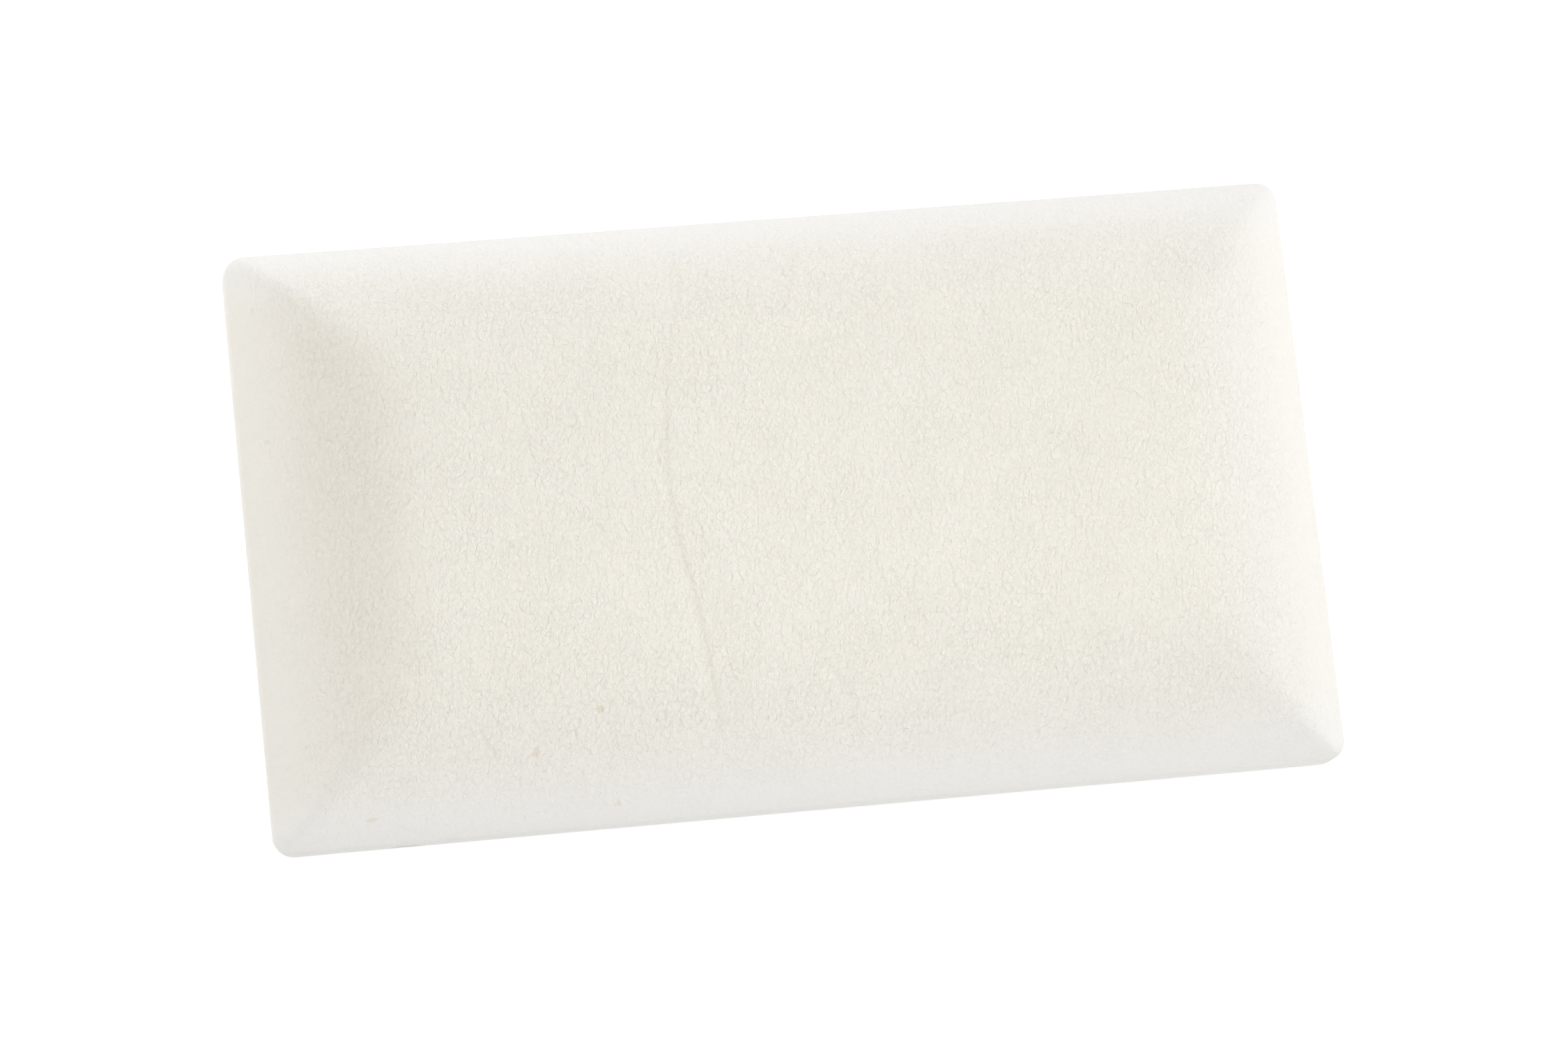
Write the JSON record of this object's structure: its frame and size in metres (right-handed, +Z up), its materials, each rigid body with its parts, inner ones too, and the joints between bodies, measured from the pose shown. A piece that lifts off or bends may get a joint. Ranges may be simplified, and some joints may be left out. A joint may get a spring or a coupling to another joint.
{
  "type": "memory foam mattress",
  "caption": "Small bare mattress core: a moulded memory foam shell with soft mitred shoulders over a layered foam core, edge rails and a backed base.",
  "frame": {"origin": "middle of the underside, on the surface the mattress lies on", "axes": "+X along the length, +Y across the width, +Z up from the underside to the sleeping face"},
  "size_m": [0.9, 0.5, 0.12],
  "materials": {
    "memory_foam": "skinned moulded memory foam, matte ivory with a fine crinkled grain",
    "transition_foam": "cut medium foam, open cells, off-white",
    "core_foam": "cut high-resilience foam, open cells, pale cream",
    "rail_foam": "cut firm foam, fine cells, light grey",
    "base_foam": "cut firm foam, fine cells, cream",
    "glue": "dried foam glue, thin milky film",
    "scrim": "white non-woven with point-bonded dots"
  },
  "bodies": {
    "root": {"comfort_shell": "memory_foam", "comfort_glue_film": "glue", "transition_layer": "transition_foam", "core_glue_film": "glue", "support_core": "core_foam", "front_edge_rail": "rail_foam", "rear_edge_rail": "rail_foam", "left_edge_rail": "rail_foam", "right_edge_rail": "rail_foam", "base_glue_film": "glue", "wall_glue_film": "glue", "base_layer": "base_foam", "base_scrim": "scrim"}
  },
  "joints": []
}
